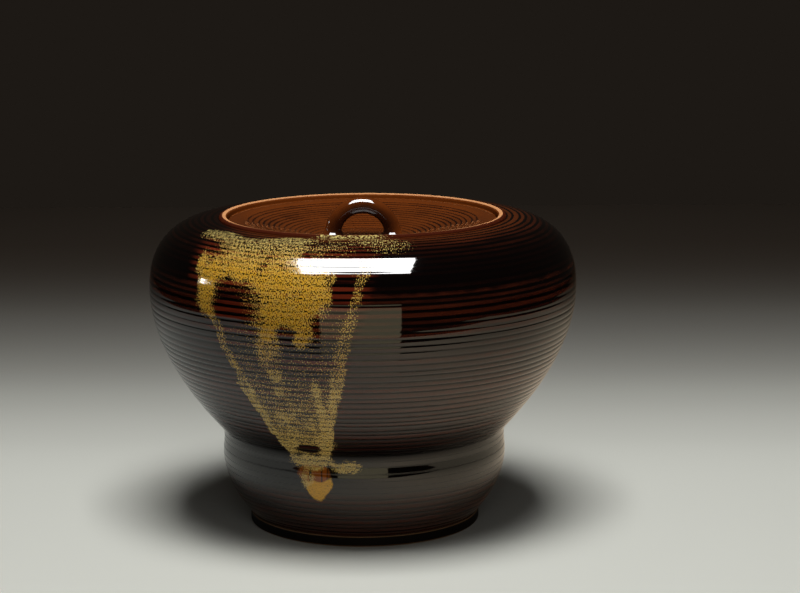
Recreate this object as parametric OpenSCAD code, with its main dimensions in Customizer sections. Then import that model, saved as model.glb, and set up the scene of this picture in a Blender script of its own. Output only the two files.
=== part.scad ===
// Mizusashi: a lidded jar that holds fresh water for the tea ceremony.
// Wheel-thrown stoneware: a round bowl on a drum-shaped base, ringed all over by the
// potter's comb, with an inset dished lid that is lifted by a coil loop.
// Millimetres, +Z up. The origin lies on the jar's axis, in the plane it stands on.

/* [Jar] */
// Diameter of the belly, the jar's widest line
belly_d = 200; // [170:1:230]
// Height of the belly above the table
belly_z = 112; // [100:1:125]
// Rise of the shoulder from the belly to the foot of the lip
shoulder_rise = 33; // [26:0.5:42]
// Squareness of the shoulder: 2 is an ellipse, more is fuller
shoulder_fullness = 2.4; // [2:0.1:3]
// Diameter of the waist, where the drum turns into the bowl
waist_d = 132.4; // [124:0.2:133]
// Height of the waist above the table
waist_z = 41.4; // [38:0.2:52]
// Diameter that the bowl's flank would reach at the waist if nothing rounded the hollow there
root_d = 124.8; // [108:0.2:126]
// Softness of that hollow: less is a sharper crease
waist_blend = 0.8; // [0.4:0.1:6]
// Curve of the bowl's flank: 1 is a straight cone, more is rounder
bowl_curve = 1.85; // [1.5:0.05:2.5]
// Diameter of the drum under the waist
drum_d = 133.4; // [128:0.2:150]
// Height of the drum's widest line above the table
drum_z = 34.4; // [25:0.2:37]
// Curve of the drum's lower flank: 1 is a straight cone, more is rounder
drum_curve = 2; // [1.2:0.05:2.4]
// Thickness of the thrown wall
wall = 6.5; // [5:0.5:9]
// Thickness of the floor
floor_t = 8; // [5:0.5:12]
// Rounding between wall and floor inside
well_round = 19; // [10:0.5:19]

/* [Mouth] */
// Inner diameter of the mouth, which the lid drops into
mouth_d = 126.8; // [100:0.2:132]
// Width of the rounded lip
lip_w = 3.8; // [3:0.1:6]
// Height of the lip above the shoulder
lip_h = 1.2; // [0.6:0.1:3]
// Width of the ledge that the lid rests on
ledge_w = 5.4; // [4:0.1:9]
// Thickness of the ledge
ledge_t = 5.5; // [4:0.5:8]
// Radius of the ledge's rounded nose
ledge_round = 1.5; // [0.5:0.1:1.9]
// Length over which the ledge blends into the shoulder inside
ledge_blend = 7; // [4:0.5:12]

/* [Foot] */
// Outer diameter of the foot ring
foot_d = 108.4; // [96:0.2:124]
// Height of the foot ring
foot_h = 5; // [4:0.5:10]
// Width of the foot ring's tread
foot_w = 7.6; // [5:0.1:14]
// Rounding of the foot ring's edges
foot_round = 1.1; // [0.4:0.1:1.8]
// How far the jar's base is cut back behind the foot ring's edge
seam_in = 0.8; // [0.2:0.1:2]

/* [Lid] */
// Gap between the lid's edge and the mouth, all round
lid_gap = 0.8; // [0.4:0.1:2]
// Depth of the lid's rim below the top of the lip
lid_recess = 1.8; // [0:0.1:4]
// Thickness of the lid's rim
rim_t = 5; // [3:0.1:8]
// Width of the lid's flat rim
rim_w = 5; // [3:0.1:10]
// Rounding of the lid's edges
rim_round = 1; // [0.3:0.1:1.4]
// Depth of the dish in the lid, from its rim to its middle
dish_depth = 8.6; // [4:0.1:12]
// Thickness of the dish
dish_t = 5.2; // [4:0.1:8]
// Width of the smooth band between the rim and the combed rings
band_w = 8; // [2:0.5:14]
// Diameter of the flat middle that the loop stands on
land_d = 44; // [40:0.5:60]
// Gap between the ledge and the step under the lid that keeps it central
step_gap = 0.9; // [0.4:0.1:2]
// Height of that step
step_h = 1.2; // [0.5:0.1:3]

/* [Loop] */
// Distance between the loop's two legs, from centre to centre
loop_span = 28.2; // [22:0.1:30]
// Diameter of the clay coil
coil_d = 7.7; // [5:0.1:10]
// How far each leg's foot spreads round the coil
flare_w = 1.5; // [0.6:0.1:2.5]
// Height of the spread foot
flare_h = 2.4; // [1:0.1:4]

/* [Combed rings] */
// Distance between two combed grooves on the jar
comb_pitch = 3; // [2:0.1:6]
// Depth of a groove on the jar
comb_depth = 0.25; // [0.1:0.05:0.8]
// Distance between two combed grooves on the lid
lid_pitch = 2.5; // [2:0.1:6]
// Depth of a groove on the lid
lid_depth = 0.25; // [0.1:0.05:0.6]

/* [Hidden] */
$fn = 120;

glaze_brown = "#3a1a0e";
glaze_amber = "#6e3414";
bare_clay = "#8a6a4c";

// Straight pieces that stand for one smooth curve
curve_steps = 24;
// Straight pieces that stand for one small rounding
round_steps = 6;
// Half the length over which the outline's direction is measured
probe = 0.5;
// One groove and the ridge above it: share of the pitch, share of the depth
comb_tooth = [[0, 1], [0.18, 0.3], [0.5, 0], [0.82, 0.3]];

belly_r = belly_d / 2;
waist_r = waist_d / 2;
root_r = root_d / 2;
drum_r = drum_d / 2;
mouth_r = mouth_d / 2;
foot_r = foot_d / 2;
lip_r = mouth_r + lip_w;
ledge_r = mouth_r - ledge_w;
seam_r = foot_r - seam_in;
lid_r = mouth_r - lid_gap;
land_r = land_d / 2;
coil_r = coil_d / 2;
loop_r = loop_span / 2;

shoulder_z = belly_z + shoulder_rise;
lip_z = shoulder_z + lip_h;
rim_z = lip_z - lid_recess;
ledge_z = rim_z - rim_t;
land_z = rim_z - dish_depth;
floor_z = foot_h + floor_t;
well_r = drum_r - wall;
well_z = floor_z + well_round;

// Points of an arc about a centre, from one angle to another, with two radii
function arc(centre, a, b, from, to, steps) =
    [for (i = [0:steps])
        let (turn = from + (to - from) * i / steps)
        centre + [a * cos(turn), b * sin(turn)]];

// Distance run along an outline at each of its points
function run(line) =
    [for (i = 0, s = 0; i < len(line);
          s = s + (i + 1 < len(line) ? norm(line[i + 1] - line[i]) : 0), i = i + 1) s];

// The outline as two tables, radius and height by distance run
function tables(line) =
    let (s = run(line))
    [for (axis = [0, 1]) [for (i = [0:len(line) - 1]) [s[i], line[i][axis]]]];

function total(line) =
    let (s = run(line))
    s[len(s) - 1];

// Point of a tabled outline at a distance run, and the way out of the clay there
function at(table, s) = [lookup(s, table[0]), lookup(s, table[1])];
function outward(table, s) =
    let (way = at(table, s + probe) - at(table, s - probe))
    [way[1], -way[0]] / norm(way);

// An outline with a whole number of combed grooves pressed into it
function combed(line, pitch, depth) =
    let (length = total(line), count = round(length / pitch), table = tables(line))
    [for (k = [0:count - 1], tooth = comb_tooth)
        let (s = (k + tooth[0]) * length / count)
        at(table, s) - depth * tooth[1] * outward(table, s)];

// An outline moved into the clay by the wall, from its top end down to its start
function inside(line, top_cut) =
    let (length = total(line) - top_cut, table = tables(line))
    [for (i = [2 * curve_steps:-1:0])
        let (s = length * i / (2 * curve_steps))
        at(table, s) - wall * outward(table, s)];

// Radius of the bowl's flank at a fall: 0 at the belly, 1 at the waist, where it hollows into the drum
function flank(fall) =
    let (bare = belly_r - (belly_r - root_r) * pow(fall, bowl_curve))
    (waist_r + bare + sqrt(pow(waist_r - bare, 2) + pow(waist_blend * fall, 2))) / 2;

// Outside of the drum, from the seam at the foot over its widest line to the waist
drum_line = concat(
    [for (i = [0:curve_steps - 1])
        let (fall = 1 - i / curve_steps)
        [drum_r - (drum_r - seam_r) * pow(fall, drum_curve), drum_z - (drum_z - foot_h) * fall]],
    [for (i = [0:curve_steps])
        let (rise = i / curve_steps)
        [flank(1) + (drum_r - flank(1)) * (1 + cos(180 * rise)) / 2, drum_z + (waist_z - drum_z) * rise]]);

// Outside of the bowl, from the waist over the belly to the foot of the lip
bowl_line = concat(
    [for (i = [0:2 * curve_steps - 1])
        let (fall = 1 - i / (2 * curve_steps))
        [flank(fall), belly_z - (belly_z - waist_z) * fall]],
    [for (i = [0:curve_steps])
        let (turn = 90 * i / curve_steps, power = 2 / shoulder_fullness)
        [lip_r + (belly_r - lip_r) * pow(cos(turn), power), belly_z + shoulder_rise * pow(sin(turn), power)]]);

// Slope of the lid's dish, from its rim in to its flat middle, and where its combed rings start
dish_rim = [lid_r - rim_w, rim_z];
dish_land = [land_r, land_z];
dish_comb = dish_rim + (dish_land - dish_rim) * band_w / (dish_rim[0] - land_r);

// Thrown jar: combed outside, rounded lip, ledge for the lid, hollow drum and bowl
module jar_body() {
    color(glaze_brown)
        rotate_extrude()
            polygon(concat(
                [[0, foot_h]],
                combed(drum_line, comb_pitch, comb_depth),
                combed(bowl_line, comb_pitch, comb_depth),
                arc([mouth_r + lip_w / 2, shoulder_z], lip_w / 2, lip_h, 0, 180, 2 * round_steps),
                [[mouth_r, ledge_z]],
                arc([ledge_r + ledge_round, ledge_z - ledge_round], ledge_round, ledge_round,
                    90, 180, round_steps),
                arc([ledge_r + ledge_round, ledge_z - ledge_t + ledge_round], ledge_round, ledge_round,
                    180, 270, round_steps),
                [[mouth_r, ledge_z - ledge_t]],
                inside(bowl_line, ledge_blend),
                arc([well_r - well_round, well_z], well_round, well_round, 0, -90, curve_steps),
                [[0, floor_z]]));
}

// Foot ring, turned from a coil of bare clay and luted under the base
module foot_ring() {
    color(bare_clay)
        rotate_extrude()
            polygon(concat(
                [[foot_r - foot_w, foot_h]],
                arc([foot_r - foot_w + foot_round, foot_round], foot_round, foot_round,
                    180, 270, round_steps),
                arc([foot_r - foot_round, foot_round], foot_round, foot_round, 270, 360, round_steps),
                arc([foot_r - foot_round, foot_h - foot_round], foot_round, foot_round,
                    0, 90, round_steps)));
}

// Thrown lid: a combed dish with a flat rim that rests on the ledge in the mouth
module lid_plate() {
    color(glaze_amber)
        rotate_extrude()
            polygon(concat(
                [[0, land_z - dish_t], [land_r, land_z - dish_t],
                 [ledge_r - step_gap, ledge_z - step_h], [ledge_r - step_gap, ledge_z]],
                arc([lid_r - rim_round, ledge_z + rim_round], rim_round, rim_round, 270, 360, round_steps),
                arc([lid_r - rim_round, rim_z - rim_round], rim_round, rim_round, 0, 90, round_steps),
                [dish_rim],
                combed([dish_comb, dish_land], lid_pitch, lid_depth),
                [dish_land, [0, land_z]]));
}

// Coil of clay bent into a loop, with both feet spread where they are luted to the lid
module lid_loop() {
    color(glaze_amber)
        translate([0, 0, land_z]) {
            rotate([90, 0, 0])
                rotate_extrude(angle = 180)
                    translate([loop_r, 0])
                        circle(r = coil_r);
            for (side = [-1, 1])
                translate([side * loop_r, 0, 0])
                    cylinder(h = flare_h, r1 = coil_r + flare_w, r2 = coil_r - flare_w / 4);
        }
}

jar_body();
foot_ring();
lid_plate();
lid_loop();
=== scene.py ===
"""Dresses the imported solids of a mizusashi, a lidded stoneware jar for fresh tea-ceremony water.

The jar is thrown, ringed by a comb, dipped in a dark iron glaze and splashed with a run of ochre glaze.
Lengths are metres, and the millimetre sizes of patterns are marked as such.
"""

import math
import random
from bisect import bisect
from collections import namedtuple
from functools import partial

import bmesh
import bpy
from bpy.props import FloatProperty, FloatVectorProperty, PointerProperty
from bpy.types import Operator, Panel, PropertyGroup
from mathutils import Matrix, Vector


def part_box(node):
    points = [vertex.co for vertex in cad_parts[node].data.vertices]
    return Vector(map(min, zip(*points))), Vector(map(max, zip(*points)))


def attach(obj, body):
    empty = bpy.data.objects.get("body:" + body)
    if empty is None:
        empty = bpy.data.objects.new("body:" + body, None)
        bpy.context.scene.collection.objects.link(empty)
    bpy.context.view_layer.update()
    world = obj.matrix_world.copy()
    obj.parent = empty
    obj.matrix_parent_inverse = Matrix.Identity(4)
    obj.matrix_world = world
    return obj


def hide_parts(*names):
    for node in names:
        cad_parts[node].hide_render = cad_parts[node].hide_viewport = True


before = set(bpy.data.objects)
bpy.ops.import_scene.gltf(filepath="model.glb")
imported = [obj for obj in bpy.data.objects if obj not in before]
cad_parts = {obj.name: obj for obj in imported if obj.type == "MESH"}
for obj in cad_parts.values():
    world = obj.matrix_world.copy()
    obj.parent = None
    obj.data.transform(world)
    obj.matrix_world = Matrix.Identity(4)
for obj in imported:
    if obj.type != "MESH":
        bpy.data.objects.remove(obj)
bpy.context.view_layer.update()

bl_info = {
    "name": "Mizusashi Water Jar",
    "version": (1, 0, 0),
    "blender": (4, 5, 0),
    "location": "View3D > Sidebar > Mizusashi",
    "description": "Builds the glazed look of a lidded water jar around its packed solids",
    "category": "Object",
}

JAR_LOW, JAR_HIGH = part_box("jar_body")
FOOT_LOW, FOOT_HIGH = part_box("foot_ring")
LID_LOW, LID_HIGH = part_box("lid_plate")
LOOP_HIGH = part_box("lid_loop")[1]

MM = 0.001

# Names of the materials that the pieces share
IRON_GLAZE = "Iron_Glaze_Fired_Glossy_With_Ochre_Run"
BURNT_LIP = "Iron_Glaze_Burnt_Dry_On_Lip"
AMBER_GLAZE = "Amber_Glaze_Fired_Glossy_On_Combed_Lid"
BARE_STONEWARE = "Bare_Stoneware_Turned_And_Fired"

# How finely the wheel-thrown forms are drawn
TURNS = 176
CURVE_POINTS = 400
ROUND_POINTS = 8
WALL_POINTS = 36
COIL_SIDES = 40
COIL_STEPS = 72
WELD = 1e-6
SHARP_ANGLE = math.radians(40)

# One combed groove and the ridge above it: places along the pitch, and half the groove's width
TOOTH = (0.0, 0.09, 0.18, 0.32, 0.5, 0.68, 0.82, 0.91)
GROOVE_HALF = 0.3
# The potter's hand: its seeds, and how unevenly the grooves lie, as shares of their pitch, depth and colour
JAR_HAND = 7
LID_HAND = 11
GROOVE_WANDER = 0.14
GROOVE_SHALLOW = 0.5
RIDGE_FADE = 0.35

# Values of the arc attribute, in millimetres, where no ochre glaze ran
INSIDE_ARC = 300.0
UNDER_ARC = -30.0
LID_ARC = 200.0

# Values of the thin attribute: how thinly the glaze lies on the clay
POOLED = 0.0
# The loop's outer side; its inner side is painted dark as shade
LOOP_THIN = 0.6
EVEN = 0.55
BAND_THIN = 0.8
CREST = 1.0
LIP_THIN = 2.0

# Edges of the ochre run as it flows down: arc in millimetres, azimuth in degrees
RUN_LEFT = ((0, -29), (45, -29), (56, -31.3), (88, -35), (117, -39.7), (140, -48), (157, -52), (200, -60))
RUN_RIGHT = ((0, -14), (52, -12), (69, -8.6), (88, -5.9), (107, -3.9), (132, -0.5), (157, 4), (200, 12))
# How densely flecks lie between the edges: arc in millimetres, share
RUN_FILL = (
    (0, 0), (47, 0.1), (53, 0.5), (69, 0.42), (94, 0.22), (114, 0.12), (136, 0.08), (158, 0.1), (200, 0)
)
# How much the run warms the iron glaze beside it: arc in millimetres, share
RUN_WARMTH = ((0, 0.04), (42, 0.08), (56, 0.3), (90, 0.4), (108, 1), (162, 1), (172, 0), (200, 0))
# How dark the iron glaze is on the ridges: arc in millimetres, share. Low on the drum, and most of all over
# the waist under the bowl's overhang, this is painted shade; high on the shoulder the glaze lies thick and
# dark on the ridges.
RIDGE_DARK_AND_UNDERHANG_SHADE = (
    (0, 0.3), (28, 0.4), (34, 1), (48, 1), (58, 0.2), (134, 0),
    (139, 0.85), (144, 0.97), (153, 0.95), (158, 0.75), (165, 0.2), (172, 0), (200, 0),
)
# How much of a combed groove the glaze leaves open: arc in millimetres, share
COMB_OPEN = (
    (5, 1.4), (20, 0.8), (28, 0.4), (34, 0.12), (48, 0.12), (52, 1.8), (64, 1.8),
    (80, 2.0), (100, 2.1), (114, 1.6), (122, 0.7), (130, 0.2), (180, 0.12),
)
# Length of a degree round the belly, in millimetres
DEGREE_MM = 1.7
# What the curves of the run span: arc in millimetres, azimuth in degrees
RUN_ARC_SPAN = 200.0
RUN_LOW, RUN_HIGH = -60.0, 20.0

# One dab of glaze or one bare window: azimuth and arc of its middle, half its size in both, gain
Dab = namedtuple("Dab", "azimuth arc wide tall gain")
# Where a dab starts and is full, in halves of its size
DAB_EDGE = (1.25, 0.5)
SHOULDER_DABS = (
    Dab(-53, 166.5, 11, 5.5, 0.5),
    Dab(-35, 162, 13, 8, 0.48),
    Dab(-24, 170, 9, 6, 0.55),
    Dab(-20.5, 161, 5, 8, 0.5),
    Dab(-6, 174, 17, 9, 0.17),
    Dab(8, 168, 9, 9, 0.24),
    Dab(-7.5, 159, 6, 4, -0.12),
    Dab(-9, 161, 8, 6, 0.28),
)
LIP_DABS = (Dab(-4, 178.6, 19, 6, 0.48),)
BELLY_DABS = (
    Dab(-40, 149, 11, 7.5, 0.45),
    Dab(-24, 148, 14, 9, 0.45),
    Dab(-43.5, 138, 3.8, 13, 0.55),
    Dab(-18.5, 137, 11, 13, 0.62),
    Dab(-9, 142, 4.5, 9, 0.36),
    Dab(-20, 124, 8, 7.5, 0.5),
    Dab(-24.6, 113, 3.8, 10, 0.34),
    Dab(-14.5, 120, 2.8, 5.5, 0.4),
    Dab(-35.3, 128.5, 3.6, 7.5, -0.75),
    Dab(-19, 121, 3.2, 4.2, -0.5),
    Dab(-4.4, 140, 2.7, 9, -0.7),
)
LOWER_DABS = (
    Dab(-23.3, 100, 2.4, 3.5, 0.35),
    Dab(-23.3, 91, 2.2, 3.2, 0.25),
    Dab(-24.3, 76, 2.4, 3, 0.32),
    Dab(-25.6, 58, 3.2, 3.6, 0.35),
    Dab(-12.5, 94, 2.2, 4.5, 0.3),
    Dab(-11.8, 72, 1.9, 24, 0.3),
    Dab(-11.5, 62, 2.8, 9, 0.3),
    Dab(-6.5, 98, 2.6, 18, 0.08),
    Dab(-20.4, 54, 5.5, 2.8, -0.7),
)
DRUM_DABS = (
    Dab(-20, 46, 9.5, 3.6, 0.9),
    Dab(-6.5, 44, 6.5, 2.9, 0.6),
    Dab(-22, 38, 3.4, 5, 0.5),
)
TAIL_DABS = (Dab(-17.4, 37.5, 6, 10.3, 1.0),)
AMBER_DABS = (Dab(-19, 40.6, 7.5, 4.2, 1.0),)

# Ramps of the glazes: the values where one starts and ends, then its shares there if they aren't 0 and 1
# Ramps over the degrees inside an edge of the run
RUN_EDGE = (-0.6, 0.5)
RILL = (3.8, 2.0, 0.0, 0.26)
WARM_LEFT = (-5.0, 3.0)
WARM_RIGHT = (-3.5, 2.0)
# Ramps over the azimuth in degrees, and over the degrees from the splash on the lip
# Painted shade on the left of the shoulder: where it starts round the jar, and where it fades out behind
SHADE_LEFT = (-40.0, -66.0)
SHADE_LEFT_FADE_BEHIND = (-170.0, -100.0)
LIP_FRONT = -7.0
LIP_TAN_SIDES = (36.0, 62.0, 0.25, 1.0)
# Ramps over the arc in millimetres
TAIL_TOP = (39.4, 38.2)
ON_BOWL = (46.0, 50.0)
WAIST_DARK_MIRROR = (74.0, 54.0)
PALE_LOW = (116.0, 96.0, 0.0, 0.7)
MATT_LOW = (122.0, 104.0, 0.05, 0.35)
LOWER_WALL = (124.0, 112.0)
ON_COMB = (112.0, 128.0, 0.25, 0.11)
PALE_HIGH = (142.0, 168.0)
CLOSEST_COVER = (148.0, 162.0, 0.6, 0.44)
# Arcs over which the painted shade on the left of the shoulder sets in
SHADE_LEFT_FROM_ARC = (148.0, 158.0, 0.0, 0.85)
UNDER_SHOULDER = (160.0, 146.0)
BY_LIP = (164.0, 176.0, 0.0, 0.7)
# Ramps over the density, level and cover of the ochre
PALE_SPARSE = (0.75, 0.35, 0.0, 0.5)
FLECKS_START = (0.02, 0.14)
FLECK_EDGE = (0.9, 1.14)
LIP_FLECK_EDGE = (0.95, 1.05)
TAIL_EDGE = (0.3, 0.5)
TAIL_PITS = (0.1, 0.4, 0.3, 1.0)
AMBER_EDGE = (0.3, 0.6)
MELT_EDGE = (0.5, 0.68)
# Ramps over the thinness of the glaze or wash
RIDGE_EDGE = (0.45, 1.0)
OUT_OF_GROOVE = (0.0, 0.5)
POOLED_GROOVE = (0.45, 0.05)
LIP_BARE = (0.9, 1.7)
LIP_OUTER = (0.15, 0.45)
LID_RING_EDGE = (0.05, 0.8)
WASH_EDGE = (0.45, 0.55)
# Ramps from the left to the right of the jar in metres, and over the firing of the clay
RIGHT_SIDE = (-30 * MM, 30 * MM, 0.0, 0.3)
CLAY_FIRED = (0.5, 1.0)

# Noise: its middle, and its gain and shift where it thins the glaze or thickens the run
NOISE_MIDDLE = (0.5, 0.5, 0.5)
UNEVEN_RUN = (1.4, -0.4)
GRAIN_LEVEL = (2.4, -0.7)
UNEVEN_GLAZE = (0.9, -0.45)
UNEVEN_FILM = (0.8, -0.4)
RAGGED_WASH = (0.6, -0.3)
# How far the run's edges wander: degrees, millimetres
WANDER_REACH = (4.0, 5.0, 0.0)
# Streaks in the run and in its melt: how many to a degree, how many to a millimetre
RUN_STREAKS = (0.55, 0.09, 0.0)
MELT_STREAKS = (0.9, 0.03, 0.0)
# Grains of the ochre in millimetres, drawn out along the height and a share of the wall's arc
GRAIN_WIDE, GRAIN_TALL = 0.46, 1.0
GRAIN_SLIP = 0.3
# Patches of thin glaze: their length along a ring, and in millimetres across the rings
PATCH_LONG = 40 * MM
PATCH_TALL = 3.0
# How thin the glaze lies halfway up a ridge
HALF_RIDGE = 0.45
# Share of metal-like glaze in the grooves beside the run, which paints dark lines into their reflection
BESIDE_RUN = 0.55
# Roughness of the glaze on the ridges, on the ochre and on the lip, and its two ends on the lid and the clay
RIDGE_ROUGH = 0.04
OCHRE_ROUGH = 0.07
LIP_ROUGH = 0.75
LID_ROUGH = (0.04, 0.09)
CLAY_ROUGH = (0.85, 0.6)
GLAZE_IOR = 1.6
# How high the grains of ochre stand in the peel of the glaze, and the grit in the toasted clay
OCHRE_RISE = 0.5
GRIT_RISE = 0.5
# Share of the clay's shade that it has where it was fired least
CLAY_DARK = 0.55

# The foot's outer edges, in degrees round them: where its wash starts below, how thin it lies above. The bare
# strip on the upper edge, from 42 to 58 degrees, is a painted highlight: pale clay for the light that this
# edge catches.
FOOT_WASH = 345
FOOT_CROWN_AND_HIGHLIGHT = ((0, 30, CREST), (42, 58, POOLED), (68, 90, CREST))
# How far across the lid's band its thin, smooth glaze reaches, as a share
BAND_END = 0.9

# The paper: its middle and half its size in metres, and the edges of it that gloss sees
PAPER_MIDDLE = (0.0, -3.5, 0.0)
PAPER_HALF = (6.0, 4.5)
GLOSS_LEFT, GLOSS_RIGHT, GLOSS_FRONT = -0.62, 0.58, -0.28
# How it fades behind the jar, a painted shade for the light falling off into the dark room: depth in metres,
# share of its shade
PAPER_PAINTED_FALLOFF = (
    (-0.2, 1), (0.07, 1), (0.16, 0.88), (0.25, 0.67), (0.36, 0.37),
    (0.49, 0.17), (0.64, 0.035), (0.8, 0), (1.2, 0),
)
# How many times the room's shade it has at its far edge, so that the lamps light it to the room's own shade
ROOM_SHARE = 3.5
# Shares of its shade that gloss sees left, right and far right of the jar, and where these turn in metres: a
# painted reflection, dimmer on the left and warmer and brighter on the right, as if a warm thing stood beside
# the jar
PAINTED_REFLECTION_LEFT = (0.78, 0.78, 0.78, 1.0)
PAINTED_REFLECTION_RIGHT = (1.38, 1.14, 0.94, 1.0)
PAINTED_REFLECTION_FAR_RIGHT = (0.86, 0.74, 0.6, 1.0)
WARM_FROM = (-0.1, 0.1)
FAR_FROM = (0.06, 0.3)
# The card, a painted reflection that glows by itself and only gloss sees: its glow as shares of the paper's
# shade, its middle and half its size in metres
CARD_GLOW = (1.4, 1.22, 0.86)
CARD_MIDDLE = (-0.0025, -0.29, 0.07)
CARD_HALF = (0.0925, 0.07)

# One lamp: its size, its place, the point that it faces, and the kind of light that leaves it out
Lamp = namedtuple("Lamp", "name size place aim hidden")
JAR_MIDDLE = (0.0, 0.0, 0.1)
LAMPS = (
    Lamp("key", (0.5, 0.5), (0.02, -0.3, 1.2), (0.0, 0.05, 0.0), "visible_glossy"),
    Lamp("softbox", (0.68, 0.7), (-0.045, -0.14, 1.06), (-0.045, 0.46, 0.26), "visible_diffuse"),
    Lamp("fill", (1.0, 1.0), (0.15, -1.35, 0.45), JAR_MIDDLE, "visible_glossy"),
    Lamp("spark", (0.07, 0.07), (-1.144, 0.058, 0.42), JAR_MIDDLE, "visible_diffuse"),
)
SENSOR_MM = 36.0


def linear(code):
    """Linear RGBA of an sRGB hex code."""
    parts = [int(code[i:i + 2], 16) / 255 for i in (0, 2, 4)]
    return [p / 12.92 if p <= 0.04045 else ((p + 0.055) / 1.055) ** 2.4 for p in parts] + [1.0]


def length(name, description, default):
    """A size that a user would change, in metres."""
    return FloatProperty(
        name=name, description=description, default=default, min=0.0, precision=5, unit="LENGTH"
    )


def colour(name, description, code):
    """A colour that a user would change, from its sRGB hex code."""
    return FloatVectorProperty(
        name=name, description=description, default=linear(code), min=0.0, max=1.0, size=4, subtype="COLOR"
    )


class JarSizes(PropertyGroup):
    """Sizes of the thrown jar and its foot"""

    belly_d: length("Belly diameter", "Widest diameter of the jar", JAR_HIGH.x - JAR_LOW.x)
    belly_z: length("Belly height", "Height of the widest line above the table", 112 * MM)
    shoulder_fullness: FloatProperty(
        name="Shoulder fullness",
        description="2 is an ellipse, more is squarer",
        default=2.4,
        min=2.0,
        max=3.0,
    )
    waist_d: length("Waist diameter", "Diameter where the drum turns into the bowl", 132.4 * MM)
    waist_z: length("Waist height", "Height of the waist above the table", 41.4 * MM)
    root_d: length("Root diameter", "Diameter that the bowl would reach at the waist, unhollowed", 124.8 * MM)
    waist_blend: length("Waist blend", "Softness of the hollow between drum and bowl", 0.8 * MM)
    bowl_curve: FloatProperty(
        name="Bowl curve", description="1 is a straight cone, more is rounder", default=1.85, min=1.0, max=3.0
    )
    drum_d: length("Drum diameter", "Widest diameter of the drum under the waist", 133.4 * MM)
    drum_z: length("Drum height", "Height of the drum's widest line above the table", 34.4 * MM)
    drum_curve: FloatProperty(
        name="Drum curve", description="1 is a straight cone, more is rounder", default=2.0, min=1.0, max=3.0
    )
    wall: length("Wall", "Thickness of the thrown wall", 6.5 * MM)
    floor_t: length("Floor", "Thickness of the floor", 8 * MM)
    well_round: length("Well rounding", "Rounding between wall and floor inside", 19 * MM)
    mouth_d: length("Mouth diameter", "Inner diameter of the mouth", 126.8 * MM)
    lip_w: length("Lip width", "Width of the rounded lip", 3.8 * MM)
    lip_h: length("Lip height", "Height of the lip above the shoulder", 1.2 * MM)
    ledge_w: length("Ledge width", "Width of the ledge that the lid rests on", 5.4 * MM)
    ledge_t: length("Ledge thickness", "Thickness of that ledge", 5.5 * MM)
    ledge_round: length("Ledge rounding", "Rounding of the ledge's nose", 1.5 * MM)
    ledge_blend: length("Ledge blend", "Length of wall that blends into the ledge", 7 * MM)
    comb_pitch: length("Comb pitch", "Distance between two combed grooves", 3 * MM)
    comb_relief: length("Comb relief", "Depth of a groove where the glaze fills it least", 0.14 * MM)
    seam_in: length("Seam", "How far the base is cut back behind the foot's edge", 0.8 * MM)
    seam_round: length("Seam rounding", "Rounding of the glaze roll at the seam", 0.5 * MM)
    foot_d: length("Foot diameter", "Outer diameter of the foot ring", FOOT_HIGH.x - FOOT_LOW.x)
    foot_w: length("Foot width", "Width of the foot ring's tread", 7.6 * MM)
    foot_round: length("Foot rounding", "Rounding of the foot ring's edges", 1.1 * MM)


class LidSizes(PropertyGroup):
    """Sizes of the lid and its loop"""

    lid_d: length("Lid diameter", "Outer diameter of the lid", LID_HIGH.x - LID_LOW.x)
    rim_t: length("Rim thickness", "Thickness of the lid's rim", 5 * MM)
    rim_w: length("Rim width", "Width of the lid's flat rim", 5 * MM)
    rim_round: length("Rim rounding", "Rounding of the lid's edges", 1 * MM)
    dish_depth: length("Dish depth", "Depth of the dish from its rim to its middle", 8.6 * MM)
    dish_t: length("Dish thickness", "Thickness of the dish", 5.2 * MM)
    land_d: length("Land diameter", "Diameter of the flat middle that the loop stands on", 44 * MM)
    step_gap: length("Step gap", "Gap between the ledge and the step under the lid", 0.9 * MM)
    step_h: length("Step height", "Height of that step", 1.2 * MM)
    comb_pitch: length("Lid comb pitch", "Distance between two rings on the lid", 2.5 * MM)
    comb_relief: length("Lid comb relief", "Depth of a ring on the lid before the glaze fills it", 0.9 * MM)
    band_w: length("Band width", "Width of the smooth band between rim and rings", 4 * MM)
    coil_d: length("Coil diameter", "Diameter of the loop's clay coil", 7.7 * MM)
    flare_w: length("Flare width", "How far each foot of the loop spreads", 2.3 * MM)
    flare_h: length("Flare height", "Height of the spread foot", 3.4 * MM)
    sink: length("Luted depth", "How deep the loop's feet are pressed into the lid", 0.08 * MM)


class GlazeColours(PropertyGroup):
    """Colours of the glazes and the clay"""

    groove: colour("Pooled glaze", "Iron glaze that pooled in a groove", "040202")
    ridge: colour("Thin glaze", "Iron glaze on a combed ridge", "3E180C")
    warm_ridge: colour("Warm ridge", "Iron glaze on a ridge beside the ochre run", "5E2010")
    lip: colour("Lip", "Glaze burnt thin inside the lip", "C48A5C")
    gold: colour("Ochre", "Ochre glaze where it lies thick", "CE9A24")
    straw: colour("Straw flecks", "Ochre glaze in thin flecks", "BEAC68")
    amber: colour("Amber", "Ochre melted into the iron glaze", "84450F")
    lid_ridge: colour("Lid ridge", "Amber glaze on a ring of the lid", "66300E")
    lid_groove: colour("Lid groove", "Amber glaze pooled between rings", "1E0B05")
    clay: colour("Clay", "Bare fired clay", "8A6A4C")
    wash: colour("Iron wash", "Iron wash on the outside of the foot", "070302")


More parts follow.
